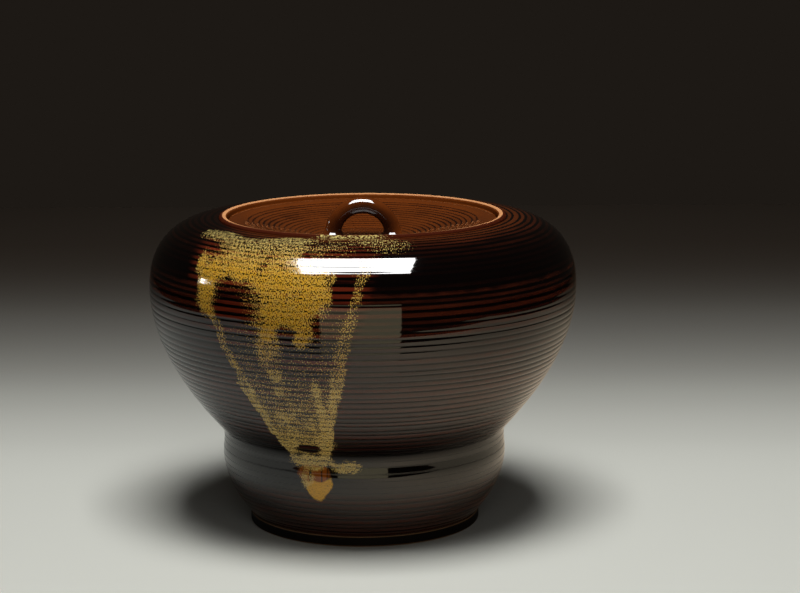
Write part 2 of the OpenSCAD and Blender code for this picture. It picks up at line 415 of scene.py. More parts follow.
class StageSettings(PropertyGroup):
    """Camera, floor and lamps"""

    lens: FloatProperty(
        name="Lens", description="Focal length on a 36 mm frame, in millimetres", default=112.5
    )
    eye: FloatVectorProperty(
        name="Eye", description="Place of the camera", default=(0.0173, -1.156, 0.3221), unit="LENGTH"
    )
    tilt: FloatProperty(
        name="Tilt", description="How far the camera looks down", default=math.radians(10.57), unit="ROTATION"
    )
    roll: FloatProperty(
        name="Roll", description="How far the camera leans", default=math.radians(-0.30), unit="ROTATION"
    )
    key_power: FloatProperty(name="Key power", description="Lamp in front and above, in watts", default=15.5)
    softbox_power: FloatProperty(
        name="Softbox power", description="Lamp overhead that only gloss shows, in watts", default=36.0
    )
    fill_power: FloatProperty(name="Fill power", description="Lamp under the camera, in watts", default=2.5)
    spark_power: FloatProperty(
        name="Spark power", description="Small lamp at the left that only gloss shows, in watts", default=0.5
    )
    paper: colour("Paper", "Pale paper that the jar stands on", "C9CAC2")
    room: colour("Room", "Dark room round the stage", "1D1915")


class MizusashiSettings(PropertyGroup):
    """All the settings of the water jar"""

    jar: PointerProperty(type=JarSizes)
    lid: PointerProperty(type=LidSizes)
    colours: PointerProperty(type=GlazeColours)
    stage: PointerProperty(type=StageSettings)


def put(tree, kind, inputs=(), curve=(), **settings):
    """Adds one node with its settings, and feeds its inputs from values, sockets or other nodes.

    The inputs come by name, or as a row in the node's own order.
    """
    node = tree.nodes.new("ShaderNode" + kind)
    for name, value in settings.items():
        setattr(node, name, value)
    for key, value in inputs.items() if isinstance(inputs, dict) else enumerate(inputs):
        if isinstance(key, str):
            socket = next(s for s in node.inputs if s.enabled and s.name == key)
        else:
            socket = node.inputs[key]
        if isinstance(value, bpy.types.Node):
            value = next(s for s in value.outputs if s.enabled)
        if isinstance(value, bpy.types.NodeSocket):
            tree.links.new(value, socket)
        else:
            socket.default_value = value
    if curve:
        line = node.mapping.curves[0].points
        line[0].location, line[-1].location = curve[0], curve[-1]
        for point in curve[1:-1]:
            line.new(*point)
        node.mapping.update()
    return node


def blank(name):
    """An empty material, and the adder of its nodes."""
    material = bpy.data.materials.new(name)
    material.use_nodes = True
    material.node_tree.nodes.clear()
    return material, partial(put, material.node_tree)


# A spot on the jar's wall: its axes, arc, thinness of glaze, azimuth in degrees, and azimuth and arc in one
Wall = namedtuple("Wall", "spot axes arc thin azimuth flat")
# The ochre run there: its place, degrees inside its edges, density, and the iron's warmth and thickness,
# which also holds the painted shade under the bowl
Run = namedtuple("Run", "place down from_left from_right density warmth thick")


def thrown_wall(add):
    """What the patterns on the jar start from. The azimuth is 0 in front and grows to the right."""
    spot = add("TexCoord").outputs["Object"]
    axes = add("SeparateXYZ", (spot,)).outputs
    arc = add("Attribute", attribute_name="arc").outputs["Fac"]
    thin = add("Attribute", attribute_name="thin").outputs["Fac"]
    front = add("Math", (axes["Y"], -1.0), operation="MULTIPLY")
    turn = add("Math", (axes["X"], front), operation="ARCTAN2")
    azimuth = add("Math", (turn,), operation="DEGREES")
    return Wall(spot, axes, arc, thin, azimuth, add("CombineXYZ", (azimuth, arc)))


def splash(add, place, dabs):
    """Sum of soft dabs on the unrolled wall, at a place given as azimuth and arc."""
    total = 0.0
    for dab in dabs:
        middle = (dab.azimuth, dab.arc, 0.0)
        size = (dab.wide, dab.tall, 1.0)
        near = add("Mapping", {"Vector": place, "Location": middle, "Scale": size}, vector_type="TEXTURE")
        reach = add("VectorMath", (near,), operation="LENGTH").outputs["Value"]
        soft = add("MapRange", (reach, *DAB_EDGE, 0.0, dab.gain), interpolation_type="SMOOTHSTEP")
        total = add("Math", (soft, total), operation="ADD")
    return total


def ochre_run(add, wall):
    """The poured run: flecks between its edges, rills along them, dabs, bare windows and long streaks."""
    wander = add("TexNoise", {"Vector": wall.spot, "Scale": 1 / (7 * MM), "Detail": 3.0})
    shift = add("VectorMath", (wander.outputs["Color"], NOISE_MIDDLE), operation="SUBTRACT")
    place = add("VectorMath", (shift, WANDER_REACH, wall.flat), operation="MULTIPLY_ADD")
    across, down = add("SeparateXYZ", (place,)).outputs[:2]
    share = add("Math", (down, RUN_ARC_SPAN), operation="DIVIDE")
    edges = []
    for line in (RUN_LEFT, RUN_RIGHT):
        points = [(arc / RUN_ARC_SPAN, (turn - RUN_LOW) / (RUN_HIGH - RUN_LOW)) for arc, turn in line]
        edge = add("FloatCurve", {"Value": share}, curve=points)
        edges.append(add("MapRange", (edge, 0.0, 1.0, RUN_LOW, RUN_HIGH), clamp=False))
    # thick darkens the ridges: glaze lying thick on the shoulder, and painted shade under the bowl, over the
    # waist and low on the drum
    fill, warmth, thick = (
        add("FloatCurve", {"Value": share}, curve=[(arc / RUN_ARC_SPAN, value) for arc, value in line])
        for line in (RUN_FILL, RUN_WARMTH, RIDGE_DARK_AND_UNDERHANG_SHADE)
    )
    from_left = add("Math", (across, edges[0]), operation="SUBTRACT")
    from_right = add("Math", (edges[1], across), operation="SUBTRACT")
    nearest = add("Math", (from_left, from_right), operation="MINIMUM")

    rill = add("MapRange", (nearest, *RILL), interpolation_type="SMOOTHSTEP")
    sheet = add("Math", (fill, rill), operation="ADD")
    inside = add("MapRange", (nearest, *RUN_EDGE), interpolation_type="SMOOTHSTEP")
    on_bowl = add("MapRange", (wall.arc, *ON_BOWL))
    under_shoulder = add("MapRange", (wall.arc, *UNDER_SHOULDER))
    for mask in (inside, on_bowl, under_shoulder):
        sheet = add("Math", (sheet, mask), operation="MULTIPLY")
    dabs = splash(add, place, SHOULDER_DABS + BELLY_DABS + LOWER_DABS + DRUM_DABS)
    density = add("Math", (sheet, dabs), operation="ADD")

    drawn = add("VectorMath", (wall.flat, RUN_STREAKS), operation="MULTIPLY")
    streak = add("TexNoise", {"Vector": drawn, "Scale": 1.0, "Detail": 3.0})
    blotch = add("TexNoise", {"Vector": wall.spot, "Scale": 1 / (5 * MM), "Detail": 2.0})
    uneven = add("Math", (streak, blotch), operation="ADD")
    uneven = add("Math", (uneven, *UNEVEN_RUN), operation="MULTIPLY_ADD")
    density = add("Math", (density, uneven), operation="MULTIPLY")
    closest = add("MapRange", (wall.arc, *CLOSEST_COVER))
    density = add("Math", (density, closest), operation="MINIMUM")
    return Run(place, down, from_left, from_right, density, warmth, thick)


def ochre_grains(add, wall, density):
    """Grains of ochre, drawn out downwards, thickest on the ridges: their level, and how far they cover."""
    height = add("Math", (wall.axes["Z"], 1 / MM), operation="MULTIPLY")
    fall = add("Math", (wall.arc, GRAIN_SLIP, height), operation="MULTIPLY_ADD")
    round_wall = add("Math", (wall.azimuth, DEGREE_MM), operation="MULTIPLY")
    drawn = add("CombineXYZ", (round_wall, fall))
    drawn = add("VectorMath", (drawn, (1 / GRAIN_WIDE, 1 / GRAIN_TALL, 0.0)), operation="MULTIPLY")
    grain = add("TexNoise", {"Vector": drawn, "Scale": 1.0, "Detail": 1.0})
    level = add("Math", (grain, *GRAIN_LEVEL), operation="MULTIPLY_ADD")
    on_comb = add("MapRange", (wall.arc, *ON_COMB))
    crest = add("Math", (wall.thin, HALF_RIDGE), operation="SUBTRACT")
    crest = add("Math", (crest, on_comb), operation="MULTIPLY")
    cover = add("Math", (level, density), operation="ADD")
    cover = add("Math", (cover, crest), operation="ADD")
    flecks = add("MapRange", (cover, *FLECK_EDGE))
    present = add("MapRange", (density, *FLECKS_START))
    return level, add("Math", (flecks, present), operation="MULTIPLY")


def ochre_tail(add, run, level):
    """How far the smooth tail of the run covers the drum."""
    tail = splash(add, run.place, TAIL_DABS)
    tail = add("MapRange", (tail, *TAIL_EDGE))
    start = add("MapRange", (run.down, *TAIL_TOP))
    pitted = add("MapRange", (level, *TAIL_PITS))
    for mask in (start, pitted):
        tail = add("Math", (tail, mask), operation="MULTIPLY")
    return tail


def ochre_shade(add, wall, density, colours):
    """Colour of the ochre: gold where it lies thick, straw where it is thin or high on the shoulder."""
    pale = add("MapRange", (wall.arc, *PALE_HIGH))
    sparse = add("MapRange", (density, *PALE_SPARSE))
    low = add("MapRange", (wall.arc, *PALE_LOW))
    for mask in (sparse, low):
        pale = add("Math", (pale, mask), operation="MAXIMUM")
    tint = add("TexNoise", {"Vector": wall.spot, "Scale": 1 / (1.6 * MM), "Detail": 2.0})
    tint = add("Math", (tint, *UNEVEN_GLAZE), operation="MULTIPLY_ADD")
    pale = add("Math", (pale, tint), operation="ADD", use_clamp=True)
    return add("Mix", {"Factor": pale, "A": colours.gold, "B": colours.straw}, data_type="RGBA")


def amber_melt(add, wall, colours):
    """Colour of the ochre that melted into the iron glaze above the tail: amber with dark streaks."""
    streak = add("VectorMath", (wall.flat, MELT_STREAKS), operation="MULTIPLY")
    streak = add("TexNoise", {"Vector": streak, "Scale": 1.0, "Detail": 2.0})
    streak = add("MapRange", (streak, *MELT_EDGE))
    return add("Mix", {"Factor": streak, "A": colours.amber, "B": colours.groove}, data_type="RGBA")


def iron_halo(add, run):
    """How far the run warms the iron glaze beside it."""
    left = add("MapRange", (run.from_left, *WARM_LEFT), interpolation_type="SMOOTHSTEP")
    right = add("MapRange", (run.from_right, *WARM_RIGHT), interpolation_type="SMOOTHSTEP")
    halo = add("Math", (left, right), operation="MINIMUM")
    return add("Math", (halo, run.warmth), operation="MULTIPLY")


def iron_shade(add, wall, thick, halo, colours):
    """Colour of the iron glaze: black in the grooves, brown on the ridges.

    The ridges are dark where the glaze lies thick high on the shoulder. They are painted dark as shade low on
    the drum and over the waist under the bowl, and up to the lip on the left of the shoulder. They are warmer
    by the run and the lip, and by the lip this is partly a painted highlight.
    """
    # dipped is painted shade: the ridges darkened on the left of the shoulder, from arc 148 up to the lip,
    # fading out behind
    dipped = add("MapRange", (wall.azimuth, *SHADE_LEFT))
    above = add("MapRange", (wall.arc, *SHADE_LEFT_FROM_ARC))
    behind = add("MapRange", (wall.azimuth, *SHADE_LEFT_FADE_BEHIND))
    for mask in (above, behind):
        dipped = add("Math", (dipped, mask), operation="MULTIPLY")
    thick = add("Math", (thick, dipped), operation="MAXIMUM")
    cold = add("Math", (1.0, halo), operation="SUBTRACT")
    thick = add("Math", (thick, cold), operation="MULTIPLY")
    # by_lip lightens the ridges below the lip to the lid's brown: the glaze is thinner towards the lip, and
    # this is partly a painted highlight where these ridges catch light
    by_lip = add("MapRange", (wall.arc, *BY_LIP))
    by_lip = add("Math", (by_lip, dipped), operation="SUBTRACT", use_clamp=True)
    ridge = colours.ridge
    for mask, over in ((thick, colours.groove), (by_lip, colours.lid_ridge), (halo, colours.warm_ridge)):
        ridge = add("Mix", {"Factor": mask, "A": ridge, "B": over}, data_type="RGBA")

    ways = ((wall.axes["X"], PATCH_LONG), (wall.axes["Y"], PATCH_LONG), (wall.arc, PATCH_TALL))
    ring = add("CombineXYZ", [add("Math", (way, 1 / size), operation="MULTIPLY") for way, size in ways])
    patch = add("TexNoise", {"Vector": ring, "Scale": 1.0, "Detail": 4.0, "Roughness": 0.6})
    film = add("Math", (patch, *UNEVEN_GLAZE), operation="MULTIPLY_ADD")
    film = add("Math", (film, wall.thin), operation="ADD")
    on_ridge = add("MapRange", (film, *RIDGE_EDGE), interpolation_type="SMOOTHSTEP")
    return add("Mix", {"Factor": on_ridge, "A": colours.groove, "B": ridge}, data_type="RGBA")


def painted_dark_reflection(add, wall, halo, ochre):
    """Where the glaze is made metal-like, so that it mirrors in its own dark brown: a painted dark
    reflection.

    Over the waist it stands in for the shaded floor and drum that the waist mirrors. In the grooves beside
    the run and on the lower wall's right it paints dark lines into the reflection.
    """
    over_waist = add("MapRange", (wall.arc, *WAIST_DARK_MIRROR), interpolation_type="SMOOTHSTEP")
    pooled = add("MapRange", (wall.thin, *POOLED_GROOVE))
    right = add("MapRange", (wall.axes["X"], *RIGHT_SIDE))
    lower = add("MapRange", (wall.arc, *LOWER_WALL))
    right = add("Math", (right, lower), operation="MULTIPLY")
    beside = add("Math", (halo, BESIDE_RUN), operation="MULTIPLY")
    beside = add("Math", (beside, right), operation="MAXIMUM")
    pooled = add("Math", (pooled, beside), operation="MULTIPLY")
    dark_mirror = add("Math", (over_waist, pooled), operation="MAXIMUM")
    on_bowl = add("MapRange", (wall.arc, *ON_BOWL))
    clear = add("Math", (1.0, ochre), operation="SUBTRACT")
    for mask in (on_bowl, clear):
        dark_mirror = add("Math", (dark_mirror, mask), operation="MULTIPLY")
    return dark_mirror


def iron_glaze(colours):
    """Iron-saturated stoneware glaze, dipped and fired to a mirror gloss over combed rings.

    It pools black in the grooves and breaks red-brown on the ridges, and the eye sees the room in it.
    A splash of ochre glaze ran down it in gold grains, with red-brown ridges showing between them.
    """
    material, add = blank(IRON_GLAZE)
    wall = thrown_wall(add)
    run = ochre_run(add, wall)
    level, flecks = ochre_grains(add, wall, run.density)
    tail = ochre_tail(add, run, level)
    ochre = add("Math", (flecks, tail), operation="MAXIMUM")
    melted = add("MapRange", (splash(add, run.place, AMBER_DABS), *AMBER_EDGE))
    halo = iron_halo(add, run)
    layers = (
        (tail, colours.gold),
        (melted, amber_melt(add, wall, colours)),
        (flecks, ochre_shade(add, wall, run.density, colours)),
    )
    shade = iron_shade(add, wall, run.thick, halo, colours)
    for mask, over in layers:
        shade = add("Mix", {"Factor": mask, "A": shade, "B": over}, data_type="RGBA")

    # A mirror, softer in the grooves low on the wall and on the ochre, with a faint orange peel
    matt = add("MapRange", (wall.arc, *MATT_LOW))
    dull = add("MapRange", (wall.thin, *OUT_OF_GROOVE, matt, RIDGE_ROUGH))
    gloss = add("Mix", {"Factor": ochre, "A": dull, "B": OCHRE_ROUGH})
    peel = add("TexNoise", {"Vector": wall.spot, "Scale": 1 / (6 * MM), "Detail": 1.0})
    relief = add("Math", (ochre, OCHRE_RISE, peel), operation="MULTIPLY_ADD")
    bump = add("Bump", {"Height": relief, "Strength": 0.25, "Distance": 0.04 * MM})
    # Metal-like glaze that mirrors in dark brown: a painted dark reflection
    dark_mirror = painted_dark_reflection(add, wall, halo, ochre)
    shader = add(
        "BsdfPrincipled",
        {"Base Color": shade, "Metallic": dark_mirror, "Roughness": gloss, "Normal": bump, "IOR": GLAZE_IOR},
    )
    add("OutputMaterial", {"Surface": shader})
    return material


def burnt_lip(colours):
    """Iron glaze that ran off the lip and burnt dry: matt, dark outside, tan on the crest and brown within.

    Grains of the ochre splash lie on it in front.
    """
    material, add = blank(BURNT_LIP)
    wall = thrown_wall(add)
    mottle = add("TexNoise", {"Vector": wall.spot, "Scale": 1 / (2.5 * MM), "Detail": 3.0})
    film = add("Math", (mottle, *UNEVEN_FILM), operation="MULTIPLY_ADD")
    film = add("Math", (film, wall.thin), operation="ADD")
    outer = add("MapRange", (film, *LIP_OUTER))
    aside = add("Math", (wall.azimuth, LIP_FRONT), operation="SUBTRACT")
    aside = add("Math", (aside,), operation="ABSOLUTE")
    # The tan crest shows at the back and sides of the lip and fades out in front
    tan_sides = add("MapRange", (aside, *LIP_TAN_SIDES))
    bare = add("MapRange", (film, *LIP_BARE))
    bare = add("Math", (bare, tan_sides), operation="MULTIPLY")
    grain = add("TexNoise", {"Vector": wall.spot, "Scale": 1 / (0.8 * MM), "Detail": 1.0})
    cover = add("Math", (grain, splash(add, wall.flat, LIP_DABS)), operation="ADD")
    flecks = add("MapRange", (cover, *LIP_FLECK_EDGE))
    shade = colours.lid_ridge
    for mask, over in ((outer, colours.ridge), (bare, colours.lip), (flecks, colours.straw)):
        shade = add("Mix", {"Factor": mask, "A": shade, "B": over}, data_type="RGBA")
    shader = add("BsdfPrincipled", {"Base Color": shade, "Roughness": LIP_ROUGH, "Specular IOR Level": 0.0})
    add("OutputMaterial", {"Surface": shader})
    return material


def amber_glaze(colours):
    """Thin amber glaze, dipped and fired glossy over the lid's combed rings.

    It lies brown on the rings and dark between them, so that the lid shows fine concentric lines.
    """
    material, add = blank(AMBER_GLAZE)
    spot = add("TexCoord").outputs["Object"]
    thin = add("Attribute", attribute_name="thin").outputs["Fac"]
    cloud = add("TexNoise", {"Vector": spot, "Scale": 1 / (14 * MM), "Detail": 4.0})
    film = add("Math", (cloud, *UNEVEN_FILM), operation="MULTIPLY_ADD")
    film = add("Math", (film, thin), operation="ADD")
    ring = add("MapRange", (film, *LID_RING_EDGE), interpolation_type="SMOOTHSTEP")
    shade = add("Mix", {"Factor": ring, "A": colours.lid_groove, "B": colours.lid_ridge}, data_type="RGBA")
    gloss = add("MapRange", (cloud, 0.0, 1.0, *LID_ROUGH))
    peel = add("TexNoise", {"Vector": spot, "Scale": 1 / (3 * MM), "Detail": 2.0})
    bump = add("Bump", {"Height": peel, "Strength": 0.2, "Distance": 0.05 * MM})
    looks = {"Base Color": shade, "Roughness": gloss, "Normal": bump, "IOR": GLAZE_IOR}
    add("OutputMaterial", {"Surface": add("BsdfPrincipled", looks)})
    return material


def bare_stoneware(colours):
    """Bare stoneware, turned leather-hard and fired: matt, gritty and toasted, with a dark iron wash."""
    material, add = blank(BARE_STONEWARE)
    spot = add("TexCoord").outputs["Object"]
    wash = add("Attribute", attribute_name="thin").outputs["Fac"]
    grit = add("TexNoise", {"Vector": spot, "Scale": 1 / (0.8 * MM), "Detail": 3.0})
    toast = add("TexNoise", {"Vector": spot, "Scale": 1 / (16 * MM), "Detail": 3.0})
    warm = add("Math", (grit, GRIT_RISE, toast), operation="MULTIPLY_ADD")
    fired = add("MapRange", (warm, *CLAY_FIRED))
    dark = [c * CLAY_DARK for c in colours.clay[:3]] + [1.0]
    clay = add("Mix", {"Factor": fired, "A": dark, "B": colours.clay}, data_type="RGBA")
    ragged = add("Math", (toast, *RAGGED_WASH), operation="MULTIPLY_ADD")
    edge = add("Math", (wash, ragged), operation="ADD")
    washed = add("MapRange", (edge, *WASH_EDGE))
    shade = add("Mix", {"Factor": washed, "A": clay, "B": colours.wash}, data_type="RGBA")
    gloss = add("MapRange", (washed, 0.0, 1.0, *CLAY_ROUGH))
    bump = add("Bump", {"Height": grit, "Strength": 0.4, "Distance": 0.15 * MM})
    looks = {"Base Color": shade, "Roughness": gloss, "Normal": bump, "Specular IOR Level": 0.1}
    add("OutputMaterial", {"Surface": add("BsdfPrincipled", looks)})
    return material


# One point of a thrown outline: radius and height, arc in millimetres, thinness of the glaze
Mark = namedtuple("Mark", "spot arc thin")


def flank(narrow, wide, curve):
    """Points of a bellied flank, from its narrow end up to just short of its widest line."""
    falls = [1 - i / CURVE_POINTS for i in range(CURVE_POINTS)]
    span = wide - narrow
    return [Vector((wide.x - span.x * f**curve, wide.y - span.y * f)) for f in falls]


def hollowed(line, radius, soft):
    """A flank whose foot hollows softly into an upright wall of some radius."""
    low, high = line[0].y, line[-1].y
    points = []
    for point in line:
        reach = soft * (high - point.y) / (high - low)
        points.append(Vector(((radius + point.x + math.hypot(radius - point.x, reach)) / 2, point.y)))
    return points


def swayed(low, high):
    """Points of an upright wall that sways from one point to another, just short of the second."""
    points = []
    for i in range(CURVE_POINTS):
        rise = i / CURVE_POINTS
        sway = (1 - math.cos(math.pi * rise)) / 2
        points.append(Vector((low.x + (high.x - low.x) * sway, low.y + (high.y - low.y) * rise)))
    return points


def round_over(centre, across, up, start, stop, steps, fullness=2.0):
    """Points of an elliptic arc about a centre, squarer the greater its fullness, between two angles."""
    points = []
    for i in range(steps + 1):
        turn = math.radians(start + (stop - start) * i / steps)
        lean = [math.copysign(abs(v) ** (2 / fullness), v) for v in (math.cos(turn), math.sin(turn))]
        points.append(Vector((centre.x + across * lean[0], centre.y + up * lean[1])))
    return points


def distances(line):
    """Distance run along a line at each of its points."""
    run = [0.0]
    for a, b in zip(line, line[1:]):
        run.append(run[-1] + (b - a).length)
    return run


def along(line, run, s):
    """Point of a line at a distance run, and the way out of the clay there."""
    i = min(max(bisect(run, s) - 1, 0), len(line) - 2)
    step = line[i + 1] - line[i]
    way = line[min(i + 2, len(line) - 1)] - line[max(i - 1, 0)]
    return line[i] + step * ((s - run[i]) / step.length), Vector((way.y, -way.x)).normalized()


def open_share(arc):
    """How much of a combed groove the glaze leaves open at an arc in millimetres."""
    for (low, here), (high, there) in zip(COMB_OPEN, COMB_OPEN[1:]):
        if arc <= high:
            return here + (there - here) * max(0.0, arc - low) / (high - low)
    return COMB_OPEN[-1][1]


def combed(line, pitch, relief, start, dice):
    """Marks along a line that a comb has ringed, starting at an arc in millimetres."""
    run = distances(line)
    count = round(run[-1] / pitch)
    cuts = [k + dice.uniform(-GROOVE_WANDER, GROOVE_WANDER) * (0 < k < count) for k in range(count + 1)]
    marks = []
    for low, high in zip(cuts, cuts[1:]):
        depth = relief * dice.uniform(1 - GROOVE_SHALLOW, 1)
        crest = CREST * dice.uniform(1 - RIDGE_FADE, 1)
        for share in TOOTH:
            s = (low + (high - low) * share) * run[-1] / count
            arc = start + s / MM
            spot, out = along(line, run, s)
            inside = max(0.0, 1 - min(share, 1 - share) / GROOVE_HALF)
            rise = 0.5 + 0.5 * math.cos(math.pi * inside)
            marks.append(Mark(spot - out * depth * open_share(arc) * (1 - rise), arc, crest * rise))
    return marks


def plain(points, arc, thin):
    """Marks of an uncombed stretch."""
    return [Mark(point, arc, thin) for point in points]


def turned(marks, closed=False):
    """Spins an outline about the jar's axis: a mesh that carries the arc and thinness of its marks."""
    form = bmesh.new()
    arc = form.verts.layers.float.new("arc")
    thin = form.verts.layers.float.new("thin")
    verts = []
    for mark in marks:
        vert = form.verts.new((0.0, mark.spot.x, mark.spot.y))
        vert[arc] = mark.arc
        vert[thin] = mark.thin
        verts.append(vert)
    pairs = list(zip(verts, verts[1:]))
    if closed:
        pairs.append((verts[-1], verts[0]))
    for pair in pairs:
        form.edges.new(pair)
    bmesh.ops.spin(
        form,
        geom=form.verts[:] + form.edges[:],
        cent=(0.0, 0.0, 0.0),
        axis=(0.0, 0.0, 1.0),
        angle=math.tau,
        steps=TURNS,
        use_merge=True,
    )
    return form


def stand(name, data):
    """A new object in the scene."""
    thing = bpy.data.objects.new(name, data)
    bpy.context.scene.collection.objects.link(thing)
    return thing


def meshed(name, form, materials):
    """A new object in the scene from a worked form."""
    mesh = bpy.data.meshes.new(name)
    form.to_mesh(mesh)
    form.free()
    for material in materials:
        mesh.materials.append(material)
    return stand(name, mesh)


def fire(name, form, materials, body, node):
    """Closes a worked form and makes it a piece that rides on a body and stands for a solid."""
    bmesh.ops.remove_doubles(form, verts=form.verts[:], dist=WELD)
    bmesh.ops.recalc_face_normals(form, faces=form.faces[:])
    for face in form.faces:
        face.smooth = True
    for edge in form.edges:
        edge.smooth = edge.calc_face_angle(0.0) < SHARP_ANGLE
    if any(not edge.is_manifold for edge in form.edges):
        raise RuntimeError(f"{name} has an open edge")
    piece = meshed(name, form, materials)
    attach(piece, body)
    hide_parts(node)


def material_for(name, maker, colours):
    """A material that several pieces share, made once."""
    return bpy.data.materials.get(name) or maker(colours)


class MIZUSASHI_OT_jar(Operator):
    """Throws the combed jar: drum, bowl, shoulder, lip, ledge and the hollow inside"""

    bl_idname = "mizusashi.jar"
    bl_label = "Glazed Jar"

    def execute(self, context):
        settings = context.scene.mizusashi
        s = settings.jar
        dice = random.Random(JAR_HAND)
        foot_z = JAR_LOW.z
        lip_z = JAR_HIGH.z
        shoulder_z = lip_z - s.lip_h
        seam_r = s.foot_d / 2 - s.seam_in
        mouth_r = s.mouth_d / 2
        lip_r = mouth_r + s.lip_w
        ledge_r = mouth_r - s.ledge_w
        ledge_z = LID_HIGH.z - settings.lid.rim_t
        floor_z = foot_z + s.floor_t
        drum = Vector((s.drum_d / 2, s.drum_z))
        root = Vector((s.root_d / 2, s.waist_z))
        belly = Vector((s.belly_d / 2, s.belly_z))

        shoulder = round_over(
            Vector((lip_r, belly.y)),
            belly.x - lip_r,
            shoulder_z - belly.y,
            0,
            90,
            CURVE_POINTS,
            s.shoulder_fullness,
        )
        bowl_line = hollowed(flank(root, belly, s.bowl_curve), s.waist_d / 2, s.waist_blend) + shoulder
        bowl_run = distances(bowl_line)
        drum_line = flank(Vector((seam_r, foot_z)), drum, s.drum_curve) + swayed(drum, bowl_line[0])
        wall_line = drum_line + bowl_line
        foot_arc = foot_z / MM
        lip_arc = foot_arc + distances(wall_line)[-1] / MM

        lip = round_over(
            Vector((mouth_r + s.lip_w / 2, shoulder_z)), s.lip_w / 2, s.lip_h, 0, 180, 2 * ROUND_POINTS
        )
        ledge = [Vector((mouth_r, ledge_z))]
        for level, start in ((ledge_z - s.ledge_round, 90), (ledge_z - s.ledge_t + s.ledge_round, 180)):
            nose = Vector((ledge_r + s.ledge_round, level))
            ledge += round_over(nose, s.ledge_round, s.ledge_round, start, start + 90, ROUND_POINTS)
        ledge.append(Vector((mouth_r, ledge_z - s.ledge_t)))
        inner = []
        for i in range(WALL_POINTS, -1, -1):
            spot, out = along(bowl_line, bowl_run, (bowl_run[-1] - s.ledge_blend) * i / WALL_POINTS)
            inner.append(spot - out * s.wall)
        well = s.well_round
        inner += round_over(
            Vector((drum.x - s.wall - well, floor_z + well)), well, well, 0, -90, 2 * ROUND_POINTS
        )
        inner.append(Vector((0.0, floor_z)))

        marks = plain([Vector((0.0, foot_z)), Vector((seam_r - 2 * s.seam_round, foot_z))], UNDER_ARC, EVEN)
        marks += combed(wall_line, s.comb_pitch, s.comb_relief, foot_arc, dice)
        crown = len(lip) // 2
        marks += plain(lip[:crown], lip_arc, EVEN)
        crest = crown + ROUND_POINTS * 2 // 3
        marks += plain(lip[crown:crest], INSIDE_ARC, LIP_THIN)
        marks += plain(lip[crest:], INSIDE_ARC, POOLED)
        marks += plain(ledge + inner, INSIDE_ARC, EVEN)
        form = turned(marks)
        for face in form.faces:
            middle = face.calc_center_median()
            if middle.z < foot_z + WELD:
                face.material_index = 1
            elif middle.z > ledge_z + WELD and middle.xy.length < lip_r + WELD:
                face.material_index = 2
        glazes = [
            material_for(IRON_GLAZE, iron_glaze, settings.colours),
            material_for(BARE_STONEWARE, bare_stoneware, settings.colours),
            material_for(BURNT_LIP, burnt_lip, settings.colours),
        ]
        fire("glazed_jar", form, glazes, "jar", "jar_body")
        return {"FINISHED"}


class MIZUSASHI_OT_foot(Operator):
    """Turns the foot ring, washed with iron outside and bare on its tread, with a painted highlight of pale
    bare clay along its upper edge
    """

    bl_idname = "mizusashi.foot"
    bl_label = "Foot Ring"

    def execute(self, context):
        settings = context.scene.mizusashi
        s = settings.jar
        outer = s.foot_d / 2
        inner = outer - s.foot_w
        top = FOOT_HIGH.z
        edge = s.foot_round
        bare = [Vector((inner, top))]
        bare += round_over(Vector((inner + edge, edge)), edge, edge, 180, 270, ROUND_POINTS)
        tread = Vector((outer - edge, edge))
        bare += round_over(tread, edge, edge, 270, 330, ROUND_POINTS)
        marks = plain(bare, UNDER_ARC, POOLED)
        marks += plain(round_over(tread, edge, edge, FOOT_WASH, 360, 2), UNDER_ARC, CREST)
        crown = Vector((outer - edge, top - edge))
        # The upper edge: washed, then a bare strip that is a painted highlight, then washed again
        for start, stop, thin in FOOT_CROWN_AND_HIGHLIGHT:
            marks += plain(round_over(crown, edge, edge, start, stop, ROUND_POINTS), UNDER_ARC, thin)
        form = turned(marks, closed=True)
        clay = material_for(BARE_STONEWARE, bare_stoneware, settings.colours)
        fire("turned_foot", form, [clay], "jar", "foot_ring")
        return {"FINISHED"}


class MIZUSASHI_OT_lid(Operator):
    """Throws the dished lid with its combed rings"""

    bl_idname = "mizusashi.lid"
    bl_label = "Glazed Lid"

    def execute(self, context):
        settings = context.scene.mizusashi
        s = settings.lid
        dice = random.Random(LID_HAND)
        lid_r = s.lid_d / 2
        rim_z = LID_HIGH.z
        ledge_z = rim_z - s.rim_t
        land_z = rim_z - s.dish_depth
        land_r = s.land_d / 2
        step_r = settings.jar.mouth_d / 2 - settings.jar.ledge_w - s.step_gap
        under_z = land_z - s.dish_t
        under = [
            Vector((0.0, under_z)),
            Vector((land_r, under_z)),
            Vector((step_r, ledge_z - s.step_h)),
            Vector((step_r, ledge_z)),
        ]
        small = s.rim_round
        edge = round_over(Vector((lid_r - small, ledge_z + small)), small, small, 270, 360, ROUND_POINTS)
        crown = round_over(Vector((lid_r - small, rim_z - small)), small, small, 0, 90, ROUND_POINTS)
        rim = Vector((lid_r - s.rim_w, rim_z))
        land = Vector((land_r, land_z))
        middle = Vector((0.0, land_z))
        ringed = rim.lerp(land, s.band_w / (rim.x - land.x))
        marks = plain(under + edge, UNDER_ARC, EVEN)
        marks += plain(crown + [rim, rim.lerp(ringed, BAND_END)], UNDER_ARC, BAND_THIN)
        marks += combed([ringed, land], s.comb_pitch, s.comb_relief, LID_ARC, dice)
        marks += combed([land, middle], s.comb_pitch, s.comb_relief, LID_ARC, dice)
        marks.append(Mark(middle, LID_ARC, EVEN))
        glaze = material_for(AMBER_GLAZE, amber_glaze, settings.colours)
        fire("glazed_lid", turned(marks), [glaze], "lid", "lid_plate")
        return {"FINISHED"}


